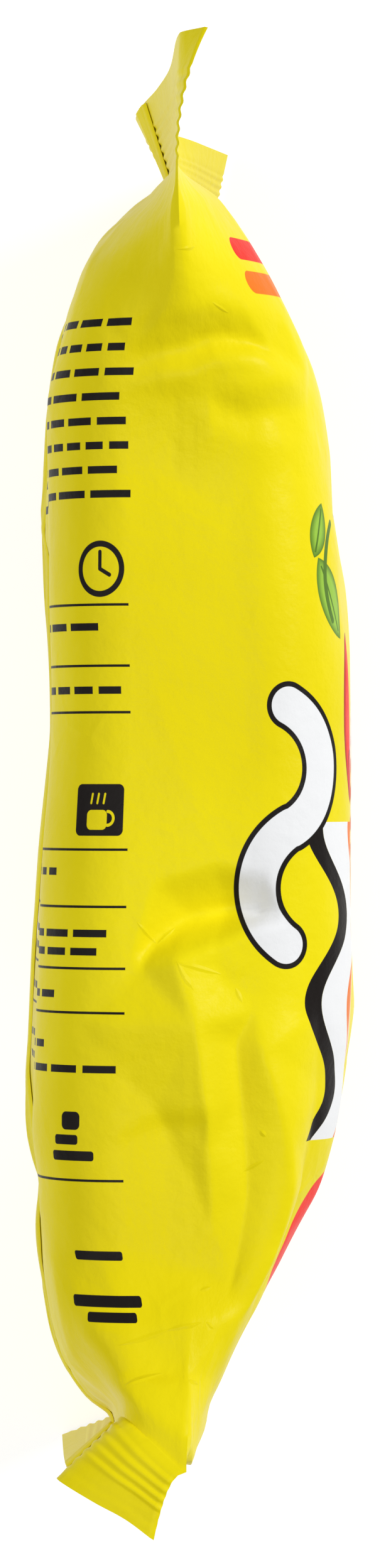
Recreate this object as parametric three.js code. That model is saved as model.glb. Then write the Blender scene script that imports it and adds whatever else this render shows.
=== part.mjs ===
// A sealed pillow packet of instant noodles, standing on one of its long sides.
// Millimetres. X runs through the packet from its back panel to its front panel, Y along it from the
// bottom seal to the top seal, and Z up from the side it rests on to the side that shows.
// The packet is one tube of film, shut by a flat seal at each end, so the model is one closed solid.
import * as THREE from "three";

// Driving dimensions.
const bodyWidth = 121; // across the packet, from the resting side to the upper side
const halfDepth = 22; // from the middle of the film tube to either panel
const upperCorner = 13; // radius between the upper side and the panels
const restCorner = 8.5; // radius between the resting side and the panels
const bodyLength = 173; // between the roots of the two seals, half way up
const filmSeal = 0.8; // two layers of film and the weld between them, with some body for a solid
const panelCrown = 0.045; // the panels swell by this share half way up
const finWidth = 11; // lap seal down the middle of the back panel
const finThickness = 0.7;
const finStep = 0.35; // the lap seal's edge rises over twice this
const tabStart = 0.86; // above this share of the way up, the seals' ends bend by their endEase

// How finely the film is divided, round half the tube and along it.
const divisions = { upperSide: 13, upperPanel: 9, fin: 3, lowerPanel: 8, restSide: 6 };
const bodyRows = 44;
const rowCrowding = 1.12; // above 1, rows crowd towards the seals

// Seals. root and edge tell where the root and the cut edge run, as [share of the way up from the
// resting side, x, y], and rise how high, as [share, z]. drift tells where the body starts behind the
// root: as [share, x] on both sides of the top seal, as [share, x, y] on the bottom seal's front side.
// endEase bends the upper end between root and cut edge. By earFade from its root, a seal's raised end
// has come down to the upper side. first is the distance from the root to the first rib.
const topSeal = {
  root: [
    [0, 3.2, 84.5],
    [0.18, 0.8, 84.5],
    [0.42, -2.4, 84.2],
    [0.72, -2, 82.4],
    [0.94, -1.7, 80.2],
    [1, -1.7, 79.6],
  ],
  edge: [
    [0, 5.6, 95.6],
    [0.15, 1, 95.2],
    [0.41, -7.6, 94.8],
    [0.5, -6.6, 95.2],
    [0.61, -4.4, 95.8],
    [0.73, -2.6, 96.5],
    [0.95, -1.2, 97.2],
    [1, 2.2, 97.4],
  ],
  rise: [
    [0, 0.6],
    [0.72, 97],
    [0.82, 111.5],
    [0.92, 126.5],
    [1, 134],
  ],
  drift: [
    [0, 3.2],
    [0.18, 0.8],
    [0.42, -2.4],
    [0.72, -2],
    [0.94, -1.7],
    [1, -1.7],
  ],
  earFade: 42,
  outward: 1,
  height: 17,
  endEase: 2.4,
  ribs: { count: 7, pitch: 1.7, first: 0.9, depth: 0.22 },
};
const bottomSeal = {
  root: [
    [0, -9.9, -95.4],
    [0.3, -10.4, -92.4],
    [0.6, -10.2, -88.2],
    [0.82, -9.6, -84.2],
    [0.9, -8.3, -82.3],
    [1, -0.6, -88.6],
  ],
  edge: [
    [0, -19.4, -98.8],
    [0.3, -18.2, -97.7],
    [0.6, -16.6, -95],
    [0.82, -14.8, -91.6],
    [0.9, -17.2, -90.2],
    [0.95, -12.2, -92.8],
    [0.975, -8.4, -94.7],
    [1, -4.7, -97.3],
  ],
  rise: [
    [0, 0.6],
    [0.7, 94.3],
    [0.8, 109],
    [0.86, 120],
    [0.9, 127.5],
    [0.95, 131.8],
    [1, 134],
  ],
  drift: [
    [0, -10, -95.4],
    [0.25, -10.4, -93],
    [0.5, -9.2, -90],
    [0.8, -4.4, -86.6],
    [0.86, -2.4, -86.8],
    [0.93, -1, -87.4],
    [1, -0.6, -88.6],
  ],
  earFade: 28,
  outward: -1,
  height: 12.6,
  endEase: 0.44,
  ribs: { count: 5, pitch: 1.5, first: 1.2, depth: 0.18 },
};

// How far each panel stands from the middle of the tube, as [distance from the bottom root, distance].
const frontOpening = [
  [0, 0],
  [2, 5],
  [4, 6],
  [7, 7],
  [10.5, 8],
  [14, 9.1],
  [18, 11.6],
  [22, 13.7],
  [32, 16.7],
  [45, 20.3],
  [58, 21.1],
  [98, 21.2],
  [130, 18.6],
  [145, 16],
  [155, 12.2],
  [168, 5.4],
  [bodyLength, 0],
];
const backOpening = [
  [0, 0],
  [1.5, 0.2],
  [5, 4.4],
  [8, 7.9],
  [12, 11.3],
  [15, 13],
  [22, 16.7],
  [29, 19.3],
  [40, 20.9],
  [50, 20.6],
  [78, 19.6],
  [98, 18.4],
  [118, 19.1],
  [140, 18.8],
  [150, 16.7],
  [158, 12.8],
  [165, 8.2],
  [169, 4.1],
  [bodyLength, 0],
];
const rootFade = 34; // a seal's sideways wander has died out this far from its root
const turnFade = 4; // and the sharper turns of its root line this far
const earStart = -4; // the raised ends of the seals begin to come down here, from the root
const roofStart = 6; // up to here from a root, the upper side is a roof of two flat slopes
const roofEnd = 27; // and here it has become a flat side
const roofEdge = 24; // the roof's slopes end this far round from its ridge
const ridgeEnd = 26; // the roof's ridge has become round this far from the root
const ridgeRound = 14; // by this much

// Dents and folds of the film, as polylines of [distance round from the middle of the upper side, y].
// Positive distances are towards the front panel. A negative lift is a valley.
const foldEnds = 0.35; // the share of its lift that a fold keeps at its ends
const folds = [
  { lift: -1.2, reach: 3, path: [[-4, 56], [4, 57], [9, 57.4], [17, 56.6]] },
  { lift: 0.6, reach: 4, path: [[-4, 62.4], [4, 64], [22, 62]] },
  { lift: -0.9, reach: 3.2, path: [[6, 49], [16, 48.8], [22, 50]] },
  { lift: -1.8, reach: 3.4, path: [[-5.2, -21.1], [0.5, -17.6], [5, -16.8], [9.4, -16.8]] },
  { lift: 1.2, reach: 3.4, path: [[-2, -23.1], [0.6, -31.4], [2.2, -42.4]] },
  { lift: 1.1, reach: 3.4, path: [[9.6, -34.9], [15.4, -52.8], [15, -68.5]] },
  { lift: 0.6, reach: 2.6, path: [[-10, -70.4], [4, -69.6], [13, -69]] },
  { lift: -0.6, reach: 2.8, path: [[-13, -76.8], [-3, -76.6], [11, -77.4]] },
];

// A smooth line through [position, value...] rows, sampled for one of the values.
function through(rows, position, column = 1) {
  const last = rows.length - 1;
  let i = 0;
  while (i < last - 1 && position > rows[i + 1][0]) i++;
  const slope = (k) => (rows[k + 1][column] - rows[k][column]) / (rows[k + 1][0] - rows[k][0]);
  const tangent = (k) => {
    if (k === 0) return slope(0);
    if (k === last) return slope(last - 1);
    const [before, after] = [slope(k - 1), slope(k)];
    return before * after <= 0 ? 0 : (2 * before * after) / (before + after);
  };
  const span = rows[i + 1][0] - rows[i][0];
  const t = THREE.MathUtils.clamp((position - rows[i][0]) / span, 0, 1);
  const [t2, t3] = [t * t, t * t * t];
  return (
    (2 * t3 - 3 * t2 + 1) * rows[i][column] +
    (t3 - 2 * t2 + t) * span * tangent(i) +
    (3 * t2 - 2 * t3) * rows[i + 1][column] +
    (t3 - t2) * span * tangent(i + 1)
  );
}

// The body's section is a rounded box, walked from the middle of the upper side over the front panel.
const sectionParts = (() => {
  const quarter = Math.PI / 2;
  const upperFlat = halfDepth - upperCorner;
  const panel = bodyWidth - upperCorner - restCorner;
  const restFlat = halfDepth - restCorner;
  return { upperFlat, upperArc: quarter * upperCorner, panel, restArc: quarter * restCorner, restFlat };
})();
const halfGirth = Object.values(sectionParts).reduce((sum, part) => sum + part, 0);

// Where a distance down that half section lies, with the outward direction there.
function boxSection(round) {
  let along = round;
  const { upperFlat, upperArc, panel, restArc } = sectionParts;
  if (along < upperFlat) return { x: along, z: bodyWidth, nx: 0, nz: 1 };
  along -= upperFlat;
  if (along < upperArc) {
    const turn = along / upperCorner;
    const [nx, nz] = [Math.sin(turn), Math.cos(turn)];
    return { x: upperFlat + upperCorner * nx, z: bodyWidth - upperCorner * (1 - nz), nx, nz };
  }
  along -= upperArc;
  if (along < panel) {
    const swell = 1 + panelCrown * Math.sin((Math.PI * along) / panel) ** 2;
    return { x: halfDepth * swell, z: bodyWidth - upperCorner - along, nx: 1, nz: 0 };
  }
  along -= panel;
  if (along < restArc) {
    const turn = along / restCorner;
    const [nx, nz] = [Math.cos(turn), -Math.sin(turn)];
    return { x: halfDepth - restCorner * (1 - nx), z: restCorner * (1 + nz), nx, nz };
  }
  along -= restArc;
  return { x: halfDepth - restCorner - along, z: 0, nx: 0, nz: -1 };
}

// How much the folds lift the film at a distance round the tube and a place along it.
function foldLift(round, y) {
  let lift = 0;
  for (const fold of folds) {
    let nearest = Infinity;
    let where = 0;
    for (let i = 0; i < fold.path.length - 1; i++) {
      const [ax, ay] = fold.path[i];
      const [bx, by] = fold.path[i + 1];
      const [dx, dy] = [bx - ax, by - ay];
      const t = THREE.MathUtils.clamp(((round - ax) * dx + (y - ay) * dy) / (dx * dx + dy * dy), 0, 1);
      const distance = Math.hypot(round - ax - t * dx, y - ay - t * dy);
      if (distance < nearest) {
        nearest = distance;
        where = (i + t) / (fold.path.length - 1);
      }
    }
    const taper = THREE.MathUtils.lerp(foldEnds, 1, Math.sin(Math.PI * where));
    lift += fold.lift * taper * Math.exp(-((nearest / fold.reach) ** 2));
  }
  return lift;
}

// The middle surface of a seal: up is the share of the way up, out the share from root to cut edge.
function sealPoint(seal, up, out) {
  const ease = THREE.MathUtils.lerp(1, seal.endEase, THREE.MathUtils.smoothstep(up, tabStart, 1));
  const x = THREE.MathUtils.lerp(through(seal.root, up), through(seal.edge, up), out ** ease);
  const y = THREE.MathUtils.lerp(through(seal.root, up, 2), through(seal.edge, up, 2), out);
  return new THREE.Vector3(x, y, through(seal.rise, up));
}

// The seal's normal towards the front side, from the points a small step away.
function sealNormal(seal, up, out) {
  const step = 0.01;
  const rise = sealPoint(seal, up + step / 2, out).sub(sealPoint(seal, up - step / 2, out));
  const reach = sealPoint(seal, up, out + step).sub(sealPoint(seal, up, out));
  return reach.cross(rise).multiplyScalar(seal.outward).normalize();
}

// One point of the film on a seal. side is 1 on the front layer, -1 on the back layer, 0 at the ends.
function sealFilm(seal, up, out, side, rib) {
  const offset = (side * filmSeal) / 2 + rib * seal.ribs.depth;
  return sealPoint(seal, up, out).addScaledVector(sealNormal(seal, up, out), offset);
}

// The section with its upper side as a roof, by a share from 0 to 1.
function roofedSection(round, roof) {
  const section = boxSection(round);
  if (round > roofEdge) return section;
  const eaves = boxSection(roofEdge);
  const share = round / roofEdge;
  section.x = THREE.MathUtils.lerp(section.x, eaves.x * share, roof);
  section.z = THREE.MathUtils.lerp(section.z, THREE.MathUtils.lerp(bodyWidth, eaves.z, share), roof);
  return section;
}

// One point of the film on the body. round is the distance from the middle of the upper side, and
// along the share of the way from the bottom root to the top root.
function bodyFilm(round, along, side) {
  const { lerp, smoothstep } = THREE.MathUtils;
  const fromBottom = along * bodyLength;
  const fromRoot = Math.min(fromBottom, bodyLength - fromBottom);
  const rounding = ridgeRound * smoothstep(fromRoot, roofStart, ridgeEnd);
  const up = 1 - (Math.hypot(round, rounding) - rounding) / halfGirth;
  const atBottom = along < 0.5;
  const seal = atBottom ? bottomSeal : topSeal;
  const root = sealPoint(seal, up, 0);
  const settled = side > 0 || !atBottom ? smoothstep(fromRoot, 0, turnFade) : 0;
  const wander = lerp(root.x, through(seal.drift, up), settled) * (1 - smoothstep(fromRoot, 0, rootFade));
  const lowered = atBottom ? settled * (1 - smoothstep(fromRoot, turnFade, seal.earFade)) : 0;
  const startY = lerp(through(bottomSeal.root, up, 2), through(bottomSeal.drift, up, 2), lowered);
  const y = lerp(startY, through(topSeal.root, up, 2), along);
  const open = smoothstep(fromRoot, earStart, seal.earFade);
  const section = roofedSection(round, 1 - smoothstep(fromRoot, roofStart, roofEnd));
  const opening = through(side < 0 ? backOpening : frontOpening, fromBottom);
  const lift = foldLift(side < 0 ? -round : round, y);
  const inFin = side < 0 && Math.abs(round - halfGirth / 2) < finWidth / 2;
  const layers = filmSeal / 2 + (inFin ? finThickness : 0);
  return new THREE.Vector3(
    wander + side * ((opening * section.x) / halfDepth + section.nx * lift + layers),
    y,
    Math.max(0, lerp(root.z, section.z, open) + section.nz * lift),
  );
}

// Distances round half the tube at which the film is divided, with a pair at each edge of the lap seal.
function columnPlaces() {
  const { upperFlat, upperArc, restArc, restFlat } = sectionParts;
  const finEdge = halfGirth / 2 - finWidth / 2;
  const finFoot = halfGirth / 2 + finWidth / 2;
  const runs = [
    [0, upperFlat + upperArc, divisions.upperSide],
    [upperFlat + upperArc, finEdge - finStep, divisions.upperPanel],
    [finEdge - finStep, finEdge + finStep, 1],
    [finEdge + finStep, finFoot - finStep, divisions.fin],
    [finFoot - finStep, finFoot + finStep, 1],
    [finFoot + finStep, halfGirth - restArc - restFlat, divisions.lowerPanel],
    [halfGirth - restArc - restFlat, halfGirth, divisions.restSide],
  ];
  const places = [0];
  for (const [from, to, count] of runs) {
    for (let i = 1; i <= count; i++) places.push(THREE.MathUtils.lerp(from, to, i / count));
  }
  return places;
}

// Each row of the film from the bottom cut edge to the top one, as a function of a column's place.
function filmRows() {
  const sealRows = (seal) => {
    const { count, pitch, first } = seal.ribs;
    const stations = [[0, 0]];
    for (let i = 0; i < 2 * count; i++) {
      stations.push([(first + ((i + 0.5) * pitch) / 2) / seal.height, i % 2 ? -1 : 1]);
    }
    stations.push([(first + count * pitch) / seal.height, 0], [1, 0]);
    return stations.map(([out, rib]) => {
      return (round, side) => sealFilm(seal, 1 - round / halfGirth, out, side, rib);
    });
  };
  const body = [];
  for (let i = 1; i < bodyRows; i++) {
    const even = (2 * i) / bodyRows - 1;
    const crowded = Math.sign(even) * (1 - (1 - Math.abs(even)) ** rowCrowding);
    const along = (1 + crowded) / 2;
    body.push((round, side) => bodyFilm(round, along, side));
  }
  return [...sealRows(bottomSeal).reverse(), ...body, ...sealRows(topSeal)];
}

// The closed skin: a tube of film, pinched shut along both cut edges.
function packetGeometry() {
  const rows = filmRows();
  const places = columnPlaces();
  const half = places.length - 1;
  const columns = 2 * half;
  const positions = [];
  for (const row of rows) {
    for (let j = 0; j < columns; j++) {
      const side = j % half === 0 ? 0 : j < half ? 1 : -1;
      positions.push(...row(places[j <= half ? j : columns - j], side).toArray());
    }
  }
  const at = (row, column) => row * columns + (column % columns);
  const faces = [];
  const addFace = (...corners) => {
    const ring = corners.filter((corner, k) => corners.indexOf(corner) === k);
    for (let k = 2; k < ring.length; k++) faces.push(ring[0], ring[k - 1], ring[k]);
  };
  for (let i = 0; i < rows.length - 1; i++) {
    for (let j = 0; j < columns; j++) addFace(at(i, j), at(i, j + 1), at(i + 1, j + 1), at(i + 1, j));
  }
  const top = rows.length - 1;
  for (let j = 0; j < half; j++) {
    addFace(at(0, columns - j), at(0, columns - j - 1), at(0, j + 1), at(0, j));
    addFace(at(top, j), at(top, j + 1), at(top, columns - j - 1), at(top, columns - j));
  }
  const geometry = new THREE.BufferGeometry();
  geometry.setAttribute("position", new THREE.Float32BufferAttribute(positions, 3));
  geometry.setIndex(faces);
  geometry.computeVertexNormals();
  return geometry;
}

const film = new THREE.MeshStandardMaterial({ color: "#e6d91e", roughness: 0.38, metalness: 0 });
const packet = new THREE.Mesh(packetGeometry(), film);
packet.name = "packet";

const noodlePacket = new THREE.Group();
noodlePacket.add(packet);

export default noodlePacket;
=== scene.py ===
# Instant noodle packet: a pillow pack of printed yellow film, lying on one long side
# Sizes are in millimetres and meshes are written in metres, X through the packet, Y along it, Z up
import functools
import math
import bpy
import numpy as np
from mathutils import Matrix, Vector
from mathutils.geometry import delaunay_2d_cdt


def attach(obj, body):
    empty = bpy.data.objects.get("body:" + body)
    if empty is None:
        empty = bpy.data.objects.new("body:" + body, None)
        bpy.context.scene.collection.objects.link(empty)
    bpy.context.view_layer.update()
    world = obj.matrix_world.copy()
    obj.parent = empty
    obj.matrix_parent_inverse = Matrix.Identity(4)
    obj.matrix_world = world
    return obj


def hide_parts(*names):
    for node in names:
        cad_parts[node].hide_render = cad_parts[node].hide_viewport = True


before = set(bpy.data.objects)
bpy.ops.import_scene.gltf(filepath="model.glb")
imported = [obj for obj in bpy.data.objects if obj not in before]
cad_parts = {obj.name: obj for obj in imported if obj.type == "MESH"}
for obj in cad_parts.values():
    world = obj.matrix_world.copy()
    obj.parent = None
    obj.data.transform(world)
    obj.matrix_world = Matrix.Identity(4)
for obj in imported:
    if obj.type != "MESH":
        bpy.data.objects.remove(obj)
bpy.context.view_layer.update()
mm = 0.001

tube = {
    "bodyWidth": 121,  # resting side to shown side
    "halfDepth": 22,
    "upperCorner": 13,
    "restCorner": 8.5,
    "bodyLength": 173,
    "filmThickness": 0.3,  # two layers of film, pressed
    "panelCrown": 0.045,
    "rootFade": 34,  # a seal's sideways drift has died out this far from its root
    "turnFade": 4,  # and the sharper turns of its root line this far
    "earStart": -4,
    "gableStart": 6,
    "gableEnd": 27,  # the shown side is folded like a roof up to here
    "gableEdge": 24,  # and its slopes end this far round
    "ridgeEnd": 26,  # the roof's sharp ridge has become a round one here
    "ridgeRound": 14,
    "tabStart": 0.86,  # above this share of the way up, a seal's end bends on its own
}

# Each end seal: its root and its cut edge are rows of [share of the way up, x, y], its rise is rows of
# [share of the way up, z], and its drift is where the body starts behind the root
topSeal = {
    "root": [
        [0, 3.2, 84.5], [0.18, 0.8, 84.5], [0.42, -2.4, 84.2],
        [0.72, -2.0, 82.4], [0.94, -1.7, 80.2], [1, -1.7, 79.6],
    ],
    "edge": [
        [0, 5.6, 95.6], [0.15, 1.0, 95.2], [0.41, -7.6, 94.8], [0.5, -6.6, 95.2],
        [0.61, -4.4, 95.8], [0.73, -2.6, 96.5], [0.95, -1.2, 97.2], [1, 2.2, 97.4],
    ],
    "rise": [[0, 0.6], [0.72, 97], [0.82, 111.5], [0.92, 126.5], [1, 134]],
    "earFade": 42,
    "drift": [[0, 3.2], [0.18, 0.8], [0.42, -2.4], [0.72, -2.0], [0.94, -1.7], [1, -1.7]],
    "outward": 1, "height": 17, "endEase": 2.4,
    "ribs": {"count": 7, "pitch": 1.7, "first": 0.6, "depth": 0.12},
}
bottomSeal = {
    "root": [
        [0, -9.9, -95.4], [0.3, -10.4, -92.4], [0.6, -10.2, -88.2],
        [0.82, -9.6, -84.2], [0.9, -8.3, -82.3], [1, -0.6, -88.6],
    ],
    "edge": [
        [0, -19.4, -98.8], [0.3, -18.2, -97.7], [0.6, -16.6, -95],
        [0.82, -14.8, -91.6], [0.9, -17.2, -90.2], [0.95, -12.2, -92.8],
        [0.975, -8.4, -94.7], [1, -4.7, -97.3],
    ],
    "rise": [[0, 0.6], [0.7, 94.3], [0.8, 109], [0.86, 120], [0.9, 127.5], [0.95, 131.8], [1, 134]],
    # the front side alone starts here: rows of [share of the way up, x, y]
    "drift": [
        [0, -10, -95.4], [0.25, -10.4, -93], [0.5, -9.2, -91.6], [0.8, -5.7, -91.6],
        [0.86, -4.2, -92.6], [0.93, -2.1, -91.8], [1, -0.6, -88.6],
    ],
    "earFade": 28,  # its raised end has come down to the shown side this far from the root
    "outward": -1, "height": 12.6, "endEase": 0.44,
    "ribs": {"count": 4, "pitch": 1.7, "first": 1.0, "depth": 0.09},
}

# How far each panel stands from the middle: rows of [distance from the bottom root, distance]
frontOpening = [
    [0, 0], [1.3, 2.1], [3, 3.2], [5, 4.5], [7.5, 5.9], [10.5, 7.1], [14, 8.5], [18, 10.8], [22, 13.2],
    [32, 17.4], [45, 20.3], [58, 21.1], [98, 21.2], [130, 18.6], [145, 16], [155, 12.2], [168, 5.4],
    [173, 0],
]
backOpening = [
    [0, 0], [1.5, 0.2], [5, 3.8], [8, 6.8], [12, 10], [15, 12.1], [22, 16.4], [29, 19.3], [40, 20.9],
    [50, 20.6], [78, 19.6], [98, 18.4], [118, 19.1], [140, 18.8], [150, 16.7], [158, 12.8], [165, 8.2],
    [169, 4.1], [173, 0],
]

# Folds of the film, as lines of [distance round from the middle of the shown side, y, lift], front panel
# positive. Between its lines the film lies in nearly flat facets, as thin film does
foldLines = {
    "topRidge": [[-1.5, 77.5, 0], [-0.6, 74, 0.4], [-1, 67.6, 0.5]],
    "leftFacet": [[-1, 67.6, 0.5], [-5, 62, 0.2], [-9, 56.8, -0.2]],
    "leftShoulder": [[-30, 71.8, 0.3], [-22, 68, 0.3], [-15, 62, 0], [-9, 56.8, -0.2]],
    "topShadow": [
        [-14, 55, 0], [-4, 56, -0.6], [4, 57.2, -0.9], [9, 57.6, -1], [14, 57.2, -0.8], [17, 56.8, -0.3],
    ],
    "topShoulder": [
        [-12, 60, 0.1], [-4, 61, 0.4], [4, 62.4, 0.5], [12, 62, 0.5], [22, 61, 0.3], [30, 60, 0],
    ],
    "shadowFoot": [[-12, 52, 0.1], [-2, 53.6, 0.3], [6, 55.8, 0.3], [12, 56.2, 0.2], [17, 56.2, 0]],
    "shoulderHollow": [[3, 51, 0.2], [6, 49, -0.1], [10, 48, -0.3], [16, 48.8, -0.3], [22, 50, -0.1]],
    "shoulderFoot": [[-2, 50, 0], [3.4, 46.6, 0.4], [9, 44.6, 0.3], [18, 44, 0.1], [26, 44, 0]],
    "rightRidge": [[22, 54, 0.3], [16, 53, 0.5], [9, 51.6, 0.4], [3, 51, 0.2]],
    "leftCorner": [[-30, 77, -0.4], [-30, 71.8, 0.3], [-31, 67.4, 0.3], [-31, 60, -0.3]],
    "rightPanel": [[34, 76, 0], [37, 66, -0.5], [38, 60, -0.6], [38, 52, 0.4], [36, 44, 0.4], [36, 30, 0]],
    "dentValley": [
        [-8, -22.4, 0], [-5.2, -21.1, -0.9], [0.5, -17.6, -1.9], [5, -16.8, -2.2],
        [9.4, -16.8, -1.5], [13, -17.6, 0],
    ],
    "dentSlope": [[-5, -13, 0.1], [3, -10.6, 0.2], [10, -11.8, 0.1]],
    "dentRidge": [[-7, -24, 0], [-2, -23.1, 1.4], [3.5, -21, 0.7], [9, -18.6, 0.4], [14, -19, 0]],
    "dentFoot": [[-2, -23.1, 1.4], [4, -24.6, 0.4], [8, -26, 0.2]],
    "longRidge": [[-2, -23.1, 1.4], [0.6, -31.4, 1.7], [2.2, -42.4, 1.5], [2.4, -48, 0.8], [3.4, -58, 0.2]],
    "ridgeNotch": [[-4.4, -42.6, 0.2], [2.2, -42.4, 1.5], [1.8, -44.4, 0.8], [-3, -45, -0.2]],
    "cornerRidge": [
        [4.6, -25.4, 0.2], [8.6, -29.6, 0.3], [9.6, -34.9, 0.9], [13.5, -45.8, 0.9],
        [15.4, -52.8, 1.1], [15.2, -62, 1], [15, -68.5, 0.6],
    ],
    "cornerHollow": [[6, -34, 0], [7, -42, -0.2], [9, -54, -0.3], [9, -66, -0.1]],
    "panelHollow": [[18, -30, 0], [20, -40, -0.6], [21.6, -52, -0.8], [21, -64, -0.4]],
    "panelEdge": [[30, -36, 0], [30, -54, 0.2], [30, -66, 0]],
    "footRidge": [[-22, -72.6, 0.3], [-10, -71.4, 0.7], [4, -70.4, 0.7], [13, -69.6, 0.5], [22, -70, 0]],
    "footLine": [[-14, -78.2, 0], [-3, -77.8, 0.1], [11, -78.8, 0]],
    "footFold": [
        [-20, -77.5, -0.2], [-13, -76.9, -0.4], [-3, -76.4, -0.4], [4, -77.2, -0.3], [11, -77.6, -0.2],
        [20, -78, 0],
    ],
    "flat": [
        [33, 80, 0], [-33, 84, 0], [-26, 52, 0], [-20, 44, 0], [-2, 40, 0],
        [-10, 36, 0.2], [6, 36, 0], [20, 30, 0.2], [-6, 14, 0.2], [8, 6, -0.3], [-12, -8, 0], [2, -6, 0.1],
        [14, -8, 0.2], [-15, -32, 0.1], [-14, -48, 0], [-14, -62, 0.2], [-3, -64, 0], [22, -20, 0.2],
        [-8, -82, 0.2], [6, -82, 0.2],
    ],
}
crumple = {
    "seed": 5,
    "perPanel": 46,
    "start": 36, "span": 86,  # where round the film its points lie, on each panel
    "reach": 92,  # and how far along the packet, gathered towards the seals
    "gather": 0.6,
    "border": 96, "borderPitch": 16, "pastPanel": 2,  # flat points round the outside
    "nearSeals": 0.8,  # greatest lift by the seals
    "middle": 0.35,  # and half way along
    "strength": 1.9,  # what every lift of the fold lines is multiplied by
    "softening": 1,  # rounds of smoothing over the fold lines
}


def smooth(value, low, high):
    t = np.clip((value - low) / (high - low), 0, 1)
    return t * t * (3 - 2 * t)


def lerp(a, b, t):
    return a + (b - a) * t


def through(rows, position, column=1):  # a smooth line through the rows, with no overshoot
    rows = np.array(rows, float)
    places, values = rows[:, 0], rows[:, column]
    slopes = np.diff(values) / np.diff(places)
    before, after = slopes[:-1], slopes[1:]
    both = np.where(before * after > 0, before * after, 0)
    middle = np.where(both > 0, 2 * both / np.where(both > 0, before + after, 1), 0)
    tangents = np.concatenate([slopes[:1], middle, slopes[-1:]])
    i = np.clip(np.searchsorted(places, position, side="left") - 1, 0, len(slopes) - 1)
    span = places[i + 1] - places[i]
    t = np.clip((position - places[i]) / span, 0, 1)
    return (
        (2 * t**3 - 3 * t**2 + 1) * values[i] + (t**3 - 2 * t**2 + t) * span * tangents[i]
        + (3 * t**2 - 2 * t**3) * values[i + 1] + (t**3 - t**2) * span * tangents[i + 1]
    )


upperFlat = tube["halfDepth"] - tube["upperCorner"]
upperArc = tube["upperCorner"] * math.pi / 2
panelRun = tube["bodyWidth"] - tube["upperCorner"] - tube["restCorner"]
restArc = tube["restCorner"] * math.pi / 2
restFlat = tube["halfDepth"] - tube["restCorner"]
panelStart = upperFlat + upperArc
panelEnd = panelStart + panelRun
halfGirth = panelEnd + restArc + restFlat
finMiddle = halfGirth / 2


def section(around):  # x and z of the rounded box, walked down from the middle of the shown side
    upperTurn = np.clip((around - upperFlat) / tube["upperCorner"], 0, math.pi / 2)
    restTurn = np.clip((around - panelEnd) / tube["restCorner"], 0, math.pi / 2)
    down = np.clip(around - panelStart, 0, panelRun)
    x = np.minimum(around, upperFlat) + tube["upperCorner"] * np.sin(upperTurn)
    x = x * (1 + tube["panelCrown"] * np.sin(math.pi * down / panelRun) ** 2)
    x = x - tube["restCorner"] * (1 - np.cos(restTurn)) - np.clip(around - panelEnd - restArc, 0, restFlat)
    z = tube["bodyWidth"] - tube["upperCorner"] * (1 - np.cos(upperTurn)) - down
    z = z - tube["restCorner"] * np.sin(restTurn)
    return x, z


def gable(around):  # the same, with the shown side as a roof of two flat slopes
    x, z = section(around)
    edgeX, edgeZ = section(tube["gableEdge"])
    share = around / tube["gableEdge"]
    onRoof = share < 1
    return np.where(onRoof, edgeX * share, x), np.where(onRoof, lerp(tube["bodyWidth"], edgeZ, share), z)


def sealMiddle(seal, up, out):
    ease = lerp(1, seal["endEase"], smooth(up, tube["tabStart"], 1))
    share = np.clip(out, 1e-6, None) ** ease
    x = lerp(through(seal["root"], up), through(seal["edge"], up), share)
    y = lerp(through(seal["root"], up, 2), through(seal["edge"], up, 2), out)
    return np.stack([x, y, through(seal["rise"], up) + 0 * x], axis=-1)


def unit(vectors):
    return vectors / np.maximum(np.linalg.norm(vectors, axis=-1, keepdims=True), 1e-9)


def sealFacing(seal, up, out):  # the seal's normal on the front panel's side
    step = 0.01
    rise = sealMiddle(seal, up + step / 2, out) - sealMiddle(seal, up - step / 2, out)
    reach = sealMiddle(seal, up, out + step) - sealMiddle(seal, up, out)
    return unit(np.cross(reach, rise)) * seal["outward"]


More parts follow.
